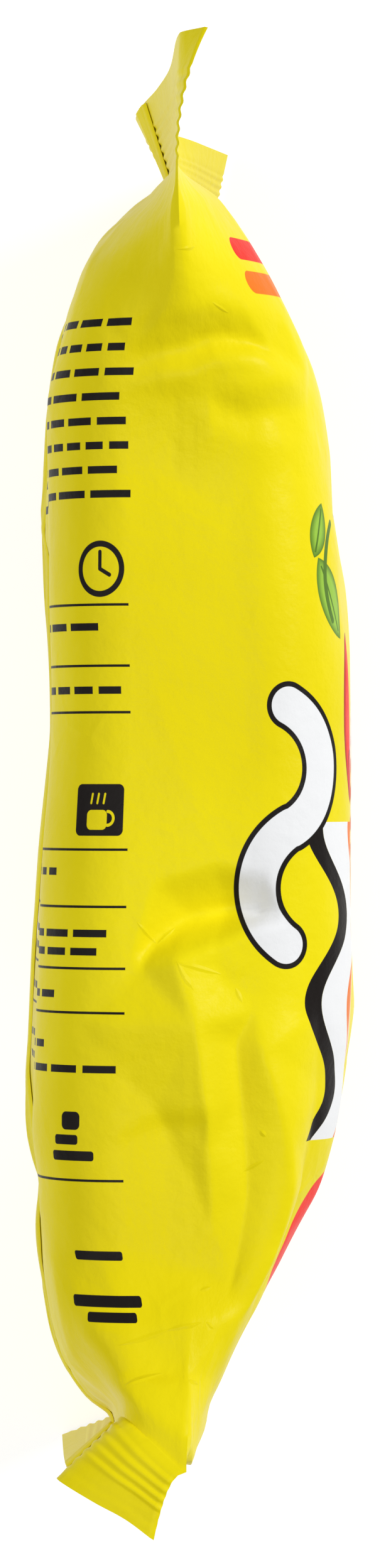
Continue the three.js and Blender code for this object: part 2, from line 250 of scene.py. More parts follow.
# A place on the film is (around, along): the signed distance round the tube, positive over the front
# panel, and the distance from the bottom root, below 0 in the bottom seal, past bodyLength in the top one
def foldedFilm(around, along):
    side = np.sign(around)
    distance = np.abs(around)
    length = tube["bodyLength"]
    inBody = np.clip(along, 0, length)
    fromRoot = np.minimum(inBody, length - inBody)
    share = inBody / length
    rounding = tube["ridgeRound"] * smooth(fromRoot, tube["gableStart"], tube["ridgeEnd"])
    up = 1 - (np.hypot(distance, rounding) - rounding) / halfGirth
    low, high = sealMiddle(bottomSeal, up, 0 * up), sealMiddle(topSeal, up, 0 * up)
    root = np.where((share < 0.5)[..., None], low, high)
    drift = np.where(share < 0.5, through(bottomSeal["drift"], up), through(topSeal["drift"], up))
    settled = smooth(fromRoot, 0, tube["turnFade"]) * ((side > 0) | (share > 0.5))
    turned = lerp(root[..., 0], drift, settled)
    lowered = settled * (share < 0.5) * (1 - smooth(fromRoot, tube["turnFade"], bottomSeal["earFade"]))
    lowY = lerp(low[..., 1], through(bottomSeal["drift"], up, 2), lowered)
    carried = turned * (1 - smooth(fromRoot, 0, tube["rootFade"]))
    earEnd = np.where(share < 0.5, bottomSeal["earFade"], topSeal["earFade"])
    openness = smooth(fromRoot, tube["earStart"], earEnd)
    roof = 1 - smooth(fromRoot, tube["gableStart"], tube["gableEnd"])
    x, z = (lerp(a, b, roof) for a, b in zip(section(distance), gable(distance)))
    opening = np.where(side < 0, through(backOpening, inBody), through(frontOpening, inBody))
    body = np.stack([
        carried + side * (opening * x / tube["halfDepth"] + tube["filmThickness"] / 2),
        lerp(lowY, high[..., 1], share),
        np.maximum(0, lerp(root[..., 2], z, openness)),
    ], axis=-1)
    for seal, past in ((bottomSeal, -along), (topSeal, along - length)):
        inSeal = past > 0
        out = np.clip(past / seal["height"], 0, 1)
        layer = (side * tube["filmThickness"] / 2)[..., None]
        strip = sealMiddle(seal, up, out) + layer * sealFacing(seal, up, out)
        body = np.where(inSeal[..., None], strip, body)
    return body


def facing(place, around, along, step=0.4):  # outward normal of a surface by differences
    acrossStep = place(around + step, along) - place(around - step, along)
    alongStep = place(around, along + step) - place(around, along - step)
    return unit(np.cross(acrossStep, alongStep))


class Noise:  # seeded smooth noise on a grid that repeats
    def __init__(self, seed, size=64):
        self.grid = np.random.default_rng(seed).random((size, size))
        self.size = size

    def __call__(self, a, b):
        ia, ib = np.floor(a).astype(int), np.floor(b).astype(int)
        ta, tb = smooth(a - ia, 0, 1), smooth(b - ib, 0, 1)
        at = lambda i, j: self.grid[i % self.size, j % self.size]
        low = lerp(at(ia, ib), at(ia + 1, ib), ta)
        high = lerp(at(ia, ib + 1), at(ia + 1, ib + 1), ta)
        return 2 * lerp(low, high, tb) - 1


relief = {
    "seed": 11,
    "swell": 0.45, "swellPitch": [26, 31],  # wide soft dents of the panels, and their pitch round and along
    "ripple": 0.1, "ripplePitch": [9, 12],  # small ones everywhere
    "pleat": 0.4,  # gathers that run away from the seals
    "pleatPitch": [6.5, 60],
    "pleatReach": 13,
    "bend": 1.3, "bendPitch": [18, 22],  # how far the gathers wander
    "shownSide": 0.25,  # share of the swell and pleats on the shown side
    "panelFade": 8,  # the panels have all of them this far past their upper corner
    "restFade": [6, 4],  # and they die out from here to here, about the lower corner
    "bodyFade": 5, "rippleFade": 9,  # nothing of it reaches the end seals
}


def foldNet():  # the fold lines joined into triangles, with seeded points over the panels
    points, edges = [], []
    for name, line in foldLines.items():
        first = len(points)
        points += line
        if name != "flat":
            edges += [(first + k, first + k + 1) for k in range(len(line) - 1)]
    draw = np.random.default_rng(crumple["seed"])
    for side in (-1, 1):
        for k in range(crumple["perPanel"]):
            y = crumple["reach"] * np.sign(draw.random() - 0.5) * draw.random() ** crumple["gather"]
            greatest = lerp(crumple["middle"], crumple["nearSeals"], (abs(y) / crumple["reach"]) ** 2)
            away = crumple["start"] + crumple["span"] * draw.random()
            points.append([side * away, y, greatest * (2 * draw.random() - 1)])
    outside = panelEnd + crumple["pastPanel"]
    for y in range(-crumple["border"], crumple["border"] + 1, crumple["borderPitch"]):
        points += [[-outside, y, 0], [outside, y, 0]]
    flat = [Vector((x, y)) for x, y, lift in points]
    corners, _, triangles, sources, _, _ = delaunay_2d_cdt(flat, edges, [], 0, 1e-4)
    lifts = [points[found[0]][2] if found else 0 for found in sources]
    return np.array([tuple(c) for c in corners]), np.array(lifts), triangles


def netLift(around, y):
    corners, lifts, triangles = foldNet()
    lift = np.zeros_like(around)
    for a, b, c in triangles:
        edgeB, edgeC = corners[b] - corners[a], corners[c] - corners[a]
        area = edgeB[0] * edgeC[1] - edgeB[1] * edgeC[0]
        dx, dy = around - corners[a][0], y - corners[a][1]
        shareB = (dx * edgeC[1] - dy * edgeC[0]) / area
        shareC = (dy * edgeB[0] - dx * edgeB[1]) / area
        inside = (shareB >= 0) & (shareC >= 0) & (shareB + shareC <= 1)
        here = lifts[a] + shareB * (lifts[b] - lifts[a]) + shareC * (lifts[c] - lifts[a])
        lift = np.where(inside, here, lift)
    return lift


def softened(field, rounds):  # averages each point of a grid with its neighbours
    for _ in range(rounds):
        field = (np.roll(field, 1, 1) + 2 * field + np.roll(field, -1, 1)) / 4
        middle = (field[:-2] + 2 * field[1:-1] + field[2:]) / 4
        field = np.concatenate([field[:1], middle, field[-1:]])
    return field


def filmLift(around, along, y):
    distance = np.abs(around)
    length = tube["bodyLength"]
    fromRoot = np.minimum(along, length - along)
    inBody = smooth(fromRoot, 0, relief["bodyFade"])
    before, after = relief["restFade"]
    offRest = 1 - smooth(distance, panelEnd - before, panelEnd + after)  # the side it rests on lies flat
    panel = smooth(distance, upperFlat, panelStart + relief["panelFade"]) * offRest
    free = lerp(relief["shownSide"], 1, panel) * offRest
    wide, small = Noise(relief["seed"]), Noise(relief["seed"] + 1)

    def spread(noise, pitch, offset, shift=0):  # the offset picks which part of the noise is used
        return noise(around / pitch[0] + shift + offset[0], y / pitch[1] + offset[1])

    swell = relief["swell"] * spread(wide, relief["swellPitch"], (9, 4)) * free
    ripple = relief["ripple"] * spread(small, relief["ripplePitch"], (3, 7))
    ripple = ripple * (1 - smooth(distance, panelEnd, panelEnd + before))
    bend = spread(wide, relief["bendPitch"], (31, 17)) * relief["bend"]
    ridge = 1 - np.abs(spread(small, relief["pleatPitch"], (40, 50), bend)) * 2
    pleat = relief["pleat"] * ridge * np.exp(-fromRoot / relief["pleatReach"]) * free
    folds = crumple["strength"] * softened(netLift(around, y), crumple["softening"])
    return inBody * (swell + pleat + folds) + smooth(fromRoot, 0, relief["rippleFade"]) * ripple


def film(around, along):
    flat = foldedFilm(around, along)
    lift = filmLift(around, along, flat[..., 1])
    place = flat + facing(foldedFilm, around, along) * lift[..., None]
    place[..., 2] = np.maximum(place[..., 2], 0)
    return place


def places(*runs):  # distances from runs of (from, to, how many)
    found = [np.array([runs[0][0]], float)]
    for low, high, count in runs:
        found.append(np.linspace(low, high, count + 1)[1:])
    return np.concatenate(found)


class Socket:  # a number in a node tree, so that maths on it reads as maths
    def __init__(self, tree, link):
        self.tree, self.link = tree, link

    def math(self, operation, *others):
        inputs = {0: self, **{k + 1: other for k, other in enumerate(others)}}
        return self.tree.node("ShaderNodeMath", {"operation": operation}, inputs).value(0)

    def __add__(self, other): return self.math("ADD", other)
    def __sub__(self, other): return self.math("SUBTRACT", other)
    def __mul__(self, other): return self.math("MULTIPLY", other)
    def __truediv__(self, other): return self.math("DIVIDE", other)
    def __rsub__(self, other): return self.math("MULTIPLY", -1).math("ADD", other)
    def __neg__(self): return self.math("MULTIPLY", -1)
    __radd__, __rmul__ = __add__, __mul__

    def size(self): return self.math("ABSOLUTE")
    def atLeast(self, other): return self.math("MAXIMUM", other)
    def atMost(self, other): return self.math("MINIMUM", other)
    def rest(self): return self.math("FRACT")
    def whole(self): return self.math("FLOOR")
    def sine(self): return self.math("SINE")


class Tree:  # builds nodes: settings first, then what their sockets hold
    def __init__(self, nodeTree):
        self.nodeTree = nodeTree

    def node(self, kind, settings=None, inputs=None):
        made = self.nodeTree.nodes.new(kind)
        for name, value in (settings or {}).items():
            if name == "stops":
                for stop, (position, colour) in zip(self.stopsFor(made, len(value)), value):
                    stop.position, stop.color = position, colour
            else:
                setattr(made, name, value)
        for name, value in (inputs or {}).items():
            self.feed(made.inputs[name], value)
        return Made(self, made)

    def stopsFor(self, made, count):
        stops = made.color_ramp.elements
        while len(stops) < count:
            stops.new(1)
        return stops

    def feed(self, socket, value):
        value = getattr(value, "link", value)
        if isinstance(value, bpy.types.NodeSocket):
            self.nodeTree.links.new(value, socket)
        else:
            socket.default_value = value

    def shaded(self, look):  # the tree's output is one surface with this look
        surface = self.node("ShaderNodeBsdfPrincipled", None, look)
        self.node("ShaderNodeOutputMaterial", None, {"Surface": surface.value("BSDF")})


class Made:
    def __init__(self, tree, node):
        self.tree, self.node = tree, node

    def value(self, name):
        return Socket(self.tree, self.node.outputs[name])


def colour(red, green, blue):  # from 0 to 255 as seen, to the linear colour that shaders take
    linear = [((c / 255 + 0.055) / 1.055) ** 2.4 if c > 10 else c / 255 / 12.92 for c in (red, green, blue)]
    return (*linear, 1)


inks = {
    "film": colour(241, 225, 16),
    "filmDeep": colour(231, 213, 10),
    "dark": colour(30, 26, 24),
    "white": colour(236, 237, 238),
    "red": colour(248, 36, 14),
    "deepRed": colour(150, 24, 18),
    "orange": colour(238, 120, 24),
    "broth": colour(214, 84, 20),
    "noodle": colour(246, 212, 128),
    "noodleShade": colour(190, 110, 36),
    "leaf": colour(150, 194, 66),
    "leafDeep": colour(84, 120, 38),
    "cream": colour(240, 214, 170),
    "yolk": colour(250, 176, 30),
    "cutEdge": colour(206, 198, 130),
}


class Print(Tree):  # the inks on the film, drawn with distances in millimetres
    def __init__(self, material):
        super().__init__(material.node_tree)
        centred = self.node("ShaderNodeUVMap", {"uv_map": "film"})
        scaled = self.node(
            "ShaderNodeMapping", None,
            {"Vector": centred.value("UV"), "Location": (-500, -500, 0), "Scale": (1000, 1000, 1)},
        )
        self.place = scaled.value("Vector")
        split = self.node("ShaderNodeSeparateXYZ", None, {0: self.place})
        self.around, self.y = split.value("X"), split.value("Y")

    def vector(self, operation, *inputs):
        held = {k: given for k, given in enumerate(inputs)}
        return self.node("ShaderNodeVectorMath", {"operation": operation}, held)

    def length(self, a, b):
        return (a * a + b * b).math("SQRT")

    def local(self, x, y, turn=0):  # distances from a centre, along an axis turned by degrees and across it
        angle = math.radians(turn)
        cos, sin = math.cos(angle), math.sin(angle)
        shift = (-x * cos - y * sin, x * sin - y * cos, 0)
        turned = {"Vector": self.place, "Rotation": (0, 0, -angle), "Location": shift}
        placed = self.node("ShaderNodeMapping", None, turned)
        split = self.node("ShaderNodeSeparateXYZ", None, {0: placed.value("Vector")})
        return split.value("X"), split.value("Y")

    def disc(self, x, y, radius):
        return self.vector("DISTANCE", self.place, (x, y, 0)).value("Value") - radius

    def oval(self, x, y, wide, high, turn=0):
        u, v = self.local(x, y, turn)
        return (self.length(u / (wide / 2), v / (high / 2)) - 1) * (high / 2)

    def leaf(self, x, y, turn, long, wide):  # where two circles overlap
        u, v = self.local(x, y, turn)
        radius = (long * long + wide * wide) / (4 * wide)
        return self.length(u, v.size() + (radius - wide / 2)) - radius

    def box(self, x, y, width, height, corner=0.05, turn=0):
        u, v = self.local(x, y, turn)
        u = (u.size() - (width / 2 - corner)).atLeast(0)
        v = (v.size() - (height / 2 - corner)).atLeast(0)
        return self.length(u, v) - corner

    def stroke(self, ax, ay, bx, by, width):
        run = math.hypot(bx - ax, by - ay)
        turn = math.degrees(math.atan2(by - ay, bx - ax))
        return self.box((ax + bx) / 2, (ay + by) / 2, run + width, width, width / 2, turn)

    def arc(self, x, y, radius, start, end, width):  # a round-ended stroke on part of a circle, in degrees
        u, v = self.local(x, y, (start + end) / 2)
        reach = math.radians((end - start) / 2)
        angle = v.math("ARCTAN2", u).atLeast(-reach).atMost(reach)
        return self.length(u - angle.math("COSINE") * radius, v - angle.sine() * radius) - width / 2

    def inked(self, distance, blur=0.07):  # 1 inside a shape and 0 outside it
        clamped = {"operation": "MULTIPLY_ADD", "use_clamp": True}
        return self.node("ShaderNodeMath", clamped, {0: distance, 1: -1 / blur, 2: 0.5}).value(0)

    def over(self, below, ink, mask):
        return self.node("ShaderNodeMix", {"data_type": "RGBA"}, {0: mask, 6: below, 7: ink}).value(2)

    def printed(self, below, ink, distance):
        return self.over(below, ink, self.inked(distance))

    def ramp(self, factor, *stops):
        held = {"stops": stops}
        return self.node("ShaderNodeValToRGB", held, {"Fac": factor}).value("Color")

    def noise(self, scale, detail=2.0, roughness=0.5):
        given = {"Vector": self.place, "Scale": scale, "Detail": detail, "Roughness": roughness}
        return self.node("ShaderNodeTexNoise", None, given).value("Fac")


def plainFilm(draw):  # the yellow under the print, with faint cloudiness
    cloud = draw.noise(0.02, 3.0)
    return draw.over(inks["filmDeep"], inks["film"], (cloud * 3 - 1).atLeast(0).atMost(1))


satin = {
    "roughness": 0.4, "grainSpread": 0.12, "scuffSpread": 0.08,
    "crinkleScale": 0.085, "crinkleSharpness": 14, "crinkleHeight": 0.5,
    "creaseHeight": 1.3,
    "bumpStrength": 0.3, "bumpDistance": 0.0006,
    "specular": 0.4, "ior": 1.2,
}
# Small sharp creases: [from around, y, to around, y, width]
creases = [
    [-4.6, -21, -7.6, -18, 0.7], [-4.6, -21, -2, -18.9, 0.7], [-2, -23.2, 4.2, -24.9, 0.8],
    [-1.8, -23, 0.4, -27, 0.8], [6, -26.6, 7, -28.6, 0.7], [9.8, -45.3, 10.7, -46.1, 0.8],
    [7.8, -50.8, 10.9, -49.2, 0.6], [-0.4, 69, 3.2, 69.5, 0.7], [6, 62.5, 9.6, 61.2, 0.6],
    [2.1, -66.2, 4.5, -65.8, 0.6], [4.2, -70.1, 7, -71, 0.6], [-12, -73.1, -3, -70.9, 0.8],
    [-4.4, -71.2, 3.2, -70.1, 0.7], [-11.2, -78, -4.4, -76.5, 0.7], [0.2, -77.4, 6.2, -78, 0.6],
]


def crease(draw, fromX, fromY, toX, toY, width):  # 1 along its middle and pointed at both ends
    middle = (fromX + toX) / 2, (fromY + toY) / 2
    turn = math.degrees(math.atan2(toY - fromY, toX - fromX))
    long = math.hypot(toX - fromX, toY - fromY)
    return (draw.leaf(*middle, turn, long, width) * (-2 / width)).atLeast(0)


# Satin film with crinkles, light scuffs and those creases that lie within reach, a run of distances round
def finishFilm(material, draw, base, reach=(-1, 1)):
    micro, scuffs, patches = draw.noise(0.35, 4.0, 0.55), draw.noise(1.6), draw.noise(0.05)
    roughness = satin["roughness"] + (micro - 0.5) * satin["grainSpread"]
    roughness = roughness + (scuffs - 0.5) * satin["scuffSpread"]
    cells = {"Vector": draw.place, "Scale": satin["crinkleScale"]}
    crinkle = draw.node("ShaderNodeTexVoronoi", {"feature": "DISTANCE_TO_EDGE"}, cells).value("Distance")
    inPatches = (patches * 5 - 2.6).atLeast(0).atMost(1)
    line = (1 - crinkle * satin["crinkleSharpness"]).atLeast(0) * inPatches
    within = [c for c in creases if min(c[0], c[2]) < reach[1] and max(c[0], c[2]) > reach[0]]
    sharp = functools.reduce(Socket.atLeast, [crease(draw, *c) for c in within])
    height = micro + line * satin["crinkleHeight"] + sharp * satin["creaseHeight"]
    pressedIn = {"Strength": satin["bumpStrength"], "Distance": satin["bumpDistance"], "Height": height}
    bump = draw.node("ShaderNodeBump", None, pressedIn).value("Normal")
    shine = {"Specular IOR Level": satin["specular"], "IOR": satin["ior"]}
    draw.shaded({"Base Color": base, "Roughness": roughness, **shine, "Normal": bump})


def newMaterial(name):
    material = bpy.data.materials.new(name)
    material.use_nodes = True
    material.node_tree.nodes.clear()
    return material


def sideFilm():
    material = newMaterial("plainSideFilm")
    draw = Print(material)
    finishFilm(material, draw, plainFilm(draw))
    return material


backPrint = {
    "column": 68,  # the first column of copy ends this far round from the shown side's middle
    "rowsTop": 60.2, "rowPitch": 3.17, "rowCount": 8, "rowStart": 8.2, "barHeight": 1,
    "word": 5.6, "gap": 1,
    "raggedStep": 2.4, "raggedReach": 1.1,  # how far the rows' ends and words differ
    "wordStep": 4.7, "wordReach": 1.7,
    # bars of copy: [y, where the bars start, word length]
    "lines": [
        [20.6, 13.3, 6.2], [12.3, 10, 4.6], [-11.5, 20.8, 3.2], [-19.6, 11.4, 6.4], [-22, 12.8, 5.4],
        [-27.6, 20.2, 4.8], [-34.2, 22.4, 4.2], [-37.4, 9.7, 5.8],
    ],
    "rules": [23.5, 15.5, 9.4, -8.6, -16.1, -24.2, -30, -52],
    "ruleWidth": 0.34, "ruleStart": 9.1,
    # heavier bars: [y, start, length, height]
    "bolds": [
        [-44.2, 15.3, 3, 2.4], [-46.7, 15.6, 4, 1.3], [-48.8, 13.2, 7, 1.3],
        [-61.8, 10, 8, 1.2], [-67.6, 8, 12, 1.5], [-69.6, 9.2, 8, 1.3],
    ],
    "timer": [-13.4, 28.2, 3.7], "mug": [-13.7, -3.4],
    "table": [117, 14, 52, 66], "tableRow": 5.2,  # middle round, middle y, width, height
    "tableRule": 0.3, "tableBorder": 0.4, "cellBar": 1.2,
    # bars in its cells: [start and end from its middle, word length, gap]
    "cells": [[-24, 0, 7.3, 1], [14, 22, 8, 0.8]],
    "barcode": [112, -42, 34, 20], "barcodeBar": 0.55,
}


def copyBars(draw, across, off, start, end, height, word, gap):
    inWord = ((across - start) / word).rest() * word - word / 2
    bar = (inWord.size() - (word - gap) / 2).atLeast(off.size() - height / 2)
    return bar.atLeast(start - across).atLeast(across - end)


def backFilm():
    material = newMaterial("backPanelFilm")
    draw = Print(material)
    across = -draw.around
    p = backPrint
    row = ((p["rowsTop"] - draw.y) / p["rowPitch"] + 0.5).whole()
    off = (p["rowsTop"] - draw.y) - row * p["rowPitch"]
    ragged = p["rowStart"] + ((row * p["raggedStep"]).sine() + 1) * p["raggedReach"]
    words = p["word"] + (row * p["wordStep"]).sine() * p["wordReach"]
    ink = copyBars(draw, across, off, ragged, p["column"], p["barHeight"], words, p["gap"])
    ink = ink.atLeast(-row - 0.5).atLeast(row - p["rowCount"] + 0.5)
    for y, start, word in p["lines"]:
        bars = copyBars(draw, across, draw.y - y, start, p["column"], p["barHeight"], word, p["gap"])
        ink = ink.atMost(bars)
    for y, start, length, height in p["bolds"]:
        ink = ink.atMost(draw.box(-start - length / 2, y, length, height, height * 0.3))
    for y in p["rules"]:
        rule = (draw.y - y).size() - p["ruleWidth"] / 2
        ink = ink.atMost(rule.atLeast(p["ruleStart"] - across).atLeast(across - p["column"]))
    # Two plain pictograms: a timer, and a steaming mug on a dark tile
    x, y, radius = p["timer"]
    timer = draw.disc(x, y, radius).atLeast(-draw.disc(x, y, radius - 0.8))
    hands = draw.stroke(x, y, x, y + radius * 0.6, 0.55)
    hands = hands.atMost(draw.stroke(x, y, x + radius * 0.4, y - 0.8, 0.55))
    x, y = p["mug"]
    mug = draw.box(x - 0.3, y - 1.3, 3.2, 2.6, 0.7).atMost(draw.arc(x + 1.4, y - 1.1, 0.9, -90, 90, 0.4))
    for k in (-1, 0, 1):
        mug = mug.atMost(draw.stroke(x - 0.3 + k, y + 0.9, x - 0.1 + k, y + 2.1, 0.3))
    ink = ink.atMost(timer).atMost(hands).atMost(draw.box(x, y, 7.6, 6.8, 0.8).atLeast(-mug))
    # A ruled table and a row of plain stripes in the second column
    x, y, width, height = p["table"]
    outline = draw.box(-x, y, width, height)
    fromRule = ((draw.y / p["tableRow"]).rest() * p["tableRow"] - p["tableRow"] / 2).size()
    table = (p["tableRow"] - p["tableRule"]) / 2 - fromRule
    for start, end, word, gap in p["cells"]:
        table = table.atMost(copyBars(draw, across, fromRule, x + start, x + end, p["cellBar"], word, gap))
    line = 2 * p["tableBorder"]
    border = outline.atLeast(-draw.box(-x, y, width - line, height - line))
    ink = ink.atMost(table.atLeast(outline)).atMost(border)
    x, y, width, height = p["barcode"]
    bar = draw.node(
        "ShaderNodeTexWhiteNoise", {"noise_dimensions": "1D"}, {"W": (across / p["barcodeBar"]).whole()}
    ).value("Value")
    stripes = (bar - 0.5).atLeast(draw.box(-x, y, width, height))
    base = draw.printed(plainFilm(draw), inks["white"], draw.box(-x, y, width + 6, height + 5, 1))
    base = draw.printed(base, inks["dark"], ink.atMost(stripes))
    finishFilm(material, draw, base, (-20, 0))
    return material


frontPrint = {
    # plain stripes across the top: [y, width, ink]
    "stripes": [[70, 3, "red"], [65.5, 3, "orange"]], "stripesMiddle": 84, "stripesLength": 136,
    # [around, y, turn, length, width]
    "leaves": [
        [22.4, 24.5, 118, 12, 5.6], [20.4, 33.4, 66, 8, 3.6], [43, 50, 20, 15, 6], [61, 47, -30, 13, 5.4],
        [110, 47, 35, 15, 6],
    ],
    # arcs: [around, y, radius, from and to in degrees, width]
    "stem": [30.6, 27, 9.6, 128, 214, 0.9],
    "chillies": [[46, 8, 19, 150, 205, 5.4], [46, 8, 19, 195, 232, 3], [108, 24, 17, 30, 100, 5]],
    # curls of steam, each of an upper and a lower arc
    "steam": [
        [9.6, 2.2, 9, -62, 64, 5], [18, -13.6, 9, 118, 236, 5], [34, 0, 8, -62, 64, 4.4],
        [41.6, -14, 8, 118, 236, 4.4], [84, 22, 14, 120, 235, 5], [102, 6, 14, -60, 60, 5],
    ],
    "steamLine": 0.7,
    # wavy bands that run along the packet: [width, ink]
    "bands": [[3, "dark"], [7, "white"], [4, "orange"], [5, "cream"]],
    "bandsStart": 19, "bandsMiddle": -26, "bandsReach": 21, "sway": 3.2, "swayLength": 23,
    # the bowl and what is in it: [around, y, then radius or turn]
    "bowl": [84, -8, 32], "bowlRim": 4,
    "eggs": [[74, 2, 30], [95, -18, -20]], "eggLength": 22, "eggWidth": 16, "yolk": 5,
    "onionRings": [[86, 8, 3.2], [98, 2, 3], [72, -18, 3.2], [84, -28, 3]], "ringLine": 1.4,
    # [around, y, length, height, corner]
    "label": [70, -60, 92, 18, 8],
    # bars on the label: [around, y, length, height]
    "labelBars": [[66, -57, 50, 4], [66, -63.5, 62, 2.2]],
    "plaque": [84, 42, 60, 15],
    "plaqueBars": [[3.2, 0.7], [-3.6, 0.46]], "plaqueBar": 3.4,  # y from its middle, share of its width
}


def noodleSoup(draw):
    strand = {"wave_type": "BANDS", "bands_direction": "DIAGONAL"}
    bends = {"Vector": draw.place, "Scale": 0.13, "Distortion": 9.0, "Detail": 1.0, "Detail Scale": 0.5}
    below = draw.node("ShaderNodeTexWave", strand, bends).value("Fac")
    strand, bends = {**strand, "bands_direction": "Y"}, {**bends, "Scale": 0.1, "Phase Offset": 2.0}
    above = draw.node("ShaderNodeTexWave", strand, bends).value("Fac")
    stops = (0.12, inks["broth"]), (0.34, inks["noodleShade"]), (0.6, inks["noodle"]), (1, inks["cream"])
    crossing = (draw.noise(0.06) * 9 - 4.2).atLeast(0).atMost(1)
    tangle = draw.over(draw.ramp(below, *stops), draw.ramp(above, *stops), crossing)
    return draw.over(tangle, inks["broth"], (draw.noise(0.035, 1.0) * 9 - 5.4).atLeast(0).atMost(1))


def frontFilm():
    material = newMaterial("frontPanelFilm")
    draw = Print(material)
    p = frontPrint
    base = plainFilm(draw)
    for y, width, ink in p["stripes"]:
        stripe = draw.box(p["stripesMiddle"], y, p["stripesLength"], width, width / 2)
        base = draw.printed(base, inks[ink], stripe)
    x, y, width, height = p["plaque"]
    base = draw.printed(base, inks["dark"], draw.box(x, y, width, height, 4))
    for rise, share in p["plaqueBars"]:
        bar = draw.box(x, y + rise, width * share, p["plaqueBar"], 1.6)
        base = draw.printed(base, inks["film"], bar)
    for x, y, turn, long, wide in p["leaves"]:
        leaf = draw.leaf(x, y, turn, long, wide)
        shade = draw.over(inks["leafDeep"], inks["leaf"], (leaf * -0.9).atLeast(0).atMost(1))
        base = draw.printed(base, shade, leaf)
        vein = draw.box(x, y, long * 0.8, 0.35, 0.1, turn)
        base = draw.printed(base, inks["leafDeep"], vein.atLeast(leaf))
    base = draw.printed(base, inks["leafDeep"], draw.arc(*p["stem"]))
    for chilli in p["chillies"]:
        skin = draw.arc(*chilli)
        shade = draw.over(inks["deepRed"], inks["red"], (skin * -0.8).atLeast(0).atMost(1))
        base = draw.printed(base, shade, skin)
    sway = (draw.y * (2 * math.pi / p["swayLength"])).sine() * p["sway"]
    ends = (draw.y - p["bandsMiddle"]).size() - p["bandsReach"]
    edge = p["bandsStart"]
    for width, ink in p["bands"]:
        band = (draw.around - sway - (edge + width / 2)).size() - width / 2
        base = draw.printed(base, inks[ink], band.atLeast(ends))
        edge += width
    bowl = draw.disc(*p["bowl"])
    base = draw.printed(base, inks["white"], bowl)
    base = draw.printed(base, noodleSoup(draw), bowl + p["bowlRim"])
    for x, y, turn in p["eggs"]:
        base = draw.printed(base, inks["white"], draw.oval(x, y, p["eggLength"], p["eggWidth"], turn))
        base = draw.printed(base, inks["yolk"], draw.disc(x - 1, y, p["yolk"]))
    for x, y, radius in p["onionRings"]:
        base = draw.printed(base, inks["leaf"], draw.disc(x, y, radius).size() - p["ringLine"] / 2)
    steam = functools.reduce(Socket.atMost, [draw.arc(*part) for part in p["steam"]])
    base = draw.printed(base, inks["dark"], steam - p["steamLine"])
    base = draw.printed(base, inks["white"], steam)
    label = draw.box(*p["label"])
    base = draw.printed(base, inks["red"], label)
    for x, y, long, high in p["labelBars"]:
        base = draw.printed(base, inks["dark"], draw.box(x, y, long, high, 0.5))
    finishFilm(material, draw, base, (0, 20))
    return material


def cutEdge():
    material = newMaterial("cutEdge")
    tree = Tree(material.node_tree)
    grain = tree.node("ShaderNodeTexNoise", None, {"Scale": 900.0}).value("Fac")
    tree.shaded({"Base Color": inks["cutEdge"], "Roughness": 0.4 + grain * 0.2})
    return material


print("materials")
finishes = {"side": sideFilm(), "front": frontFilm(), "back": backFilm(), "edge": cutEdge()}
printZones = {"side": 0, "front": 1, "back": 2, "edge": 3}
printStart = 1  # the panels' own materials begin this far round from the shown side's middle


def pressedRibs():  # displaces film along its stored facing in even waves, then sets its materials
    group = bpy.data.node_groups.new("pressedRibs", "GeometryNodeTree")
    group.interface.new_socket("Geometry", in_out="INPUT", socket_type="NodeSocketGeometry")
    for name, value in (("Pitch", 1.6), ("Depth", 0.25), ("First", 1.0), ("Last", 9.0)):
        made = group.interface.new_socket(name, in_out="INPUT", socket_type="NodeSocketFloat")
        made.default_value = value
    group.interface.new_socket("Geometry", in_out="OUTPUT", socket_type="NodeSocketGeometry")
    tree = Tree(group)
    given = tree.node("NodeGroupInput")
    pitch, depth, first, last = (given.value(name) for name in ("Pitch", "Depth", "First", "Last"))
    stored = lambda kind, name: tree.node(
        "GeometryNodeInputNamedAttribute", {"data_type": kind}, {"Name": name}
    ).value(0)
    fromRoot, towards = stored("FLOAT", "sealReach"), stored("FLOAT_VECTOR", "sealFacing")
    wave = ((fromRoot - first) / pitch * (2 * math.pi)).sine()
    quick = 4  # the waves begin and end within a quarter of their pitch
    begun = ((fromRoot - first) / pitch * quick).atLeast(0).atMost(1)
    ended = ((last - fromRoot) / pitch * quick).atLeast(0).atMost(1)
    push = wave * begun * ended * depth * mm
    offset = tree.node("ShaderNodeVectorMath", {"operation": "SCALE"}, {0: towards, "Scale": push}).value(0)
    flat = given.value("Geometry")
    moved = tree.node("GeometryNodeSetPosition", None, {"Geometry": flat, "Offset": offset})
    made = tree.node("GeometryNodeRealizeInstances", None, {0: moved.value(0)}).value(0)
    zone = stored("INT", "printZone")
    for name, number in printZones.items():
        chosen = tree.node(
            "FunctionNodeCompare", {"data_type": "FLOAT", "operation": "EQUAL"},
            {0: zone, 1: number, "Epsilon": 0.1},
        ).value(0)
        given = {"Geometry": made, "Selection": chosen, "Material": finishes[name]}
        made = tree.node("GeometryNodeSetMaterial", None, given).value(0)
    tree.node("NodeGroupOutput", None, {0: made})
    return group


def pressed(piece, group, ribs):  # runs the rib tree on a piece and keeps the mesh it gives
    modifier = piece.modifiers.new("ribs", "NODES")
    modifier.node_group = group
    sockets = {s.name: s.identifier for s in group.interface.items_tree if s.in_out == "INPUT"}
    values = {
        "Pitch": ribs["pitch"], "Depth": ribs["depth"],
        "First": ribs["first"], "Last": ribs["first"] + ribs["count"] * ribs["pitch"],
    }
    for name, value in values.items():
        modifier[sockets[name]] = float(value)
    bpy.context.view_layer.update()
    result = bpy.data.meshes.new_from_object(piece.evaluated_get(bpy.context.evaluated_depsgraph_get()))
    piece.modifiers.remove(modifier)
    piece.data = result
    return piece


filmGrid = {"shown": 66, "panel": 74, "rest": 10, "body": 216, "perRib": 6, "margin": 5}


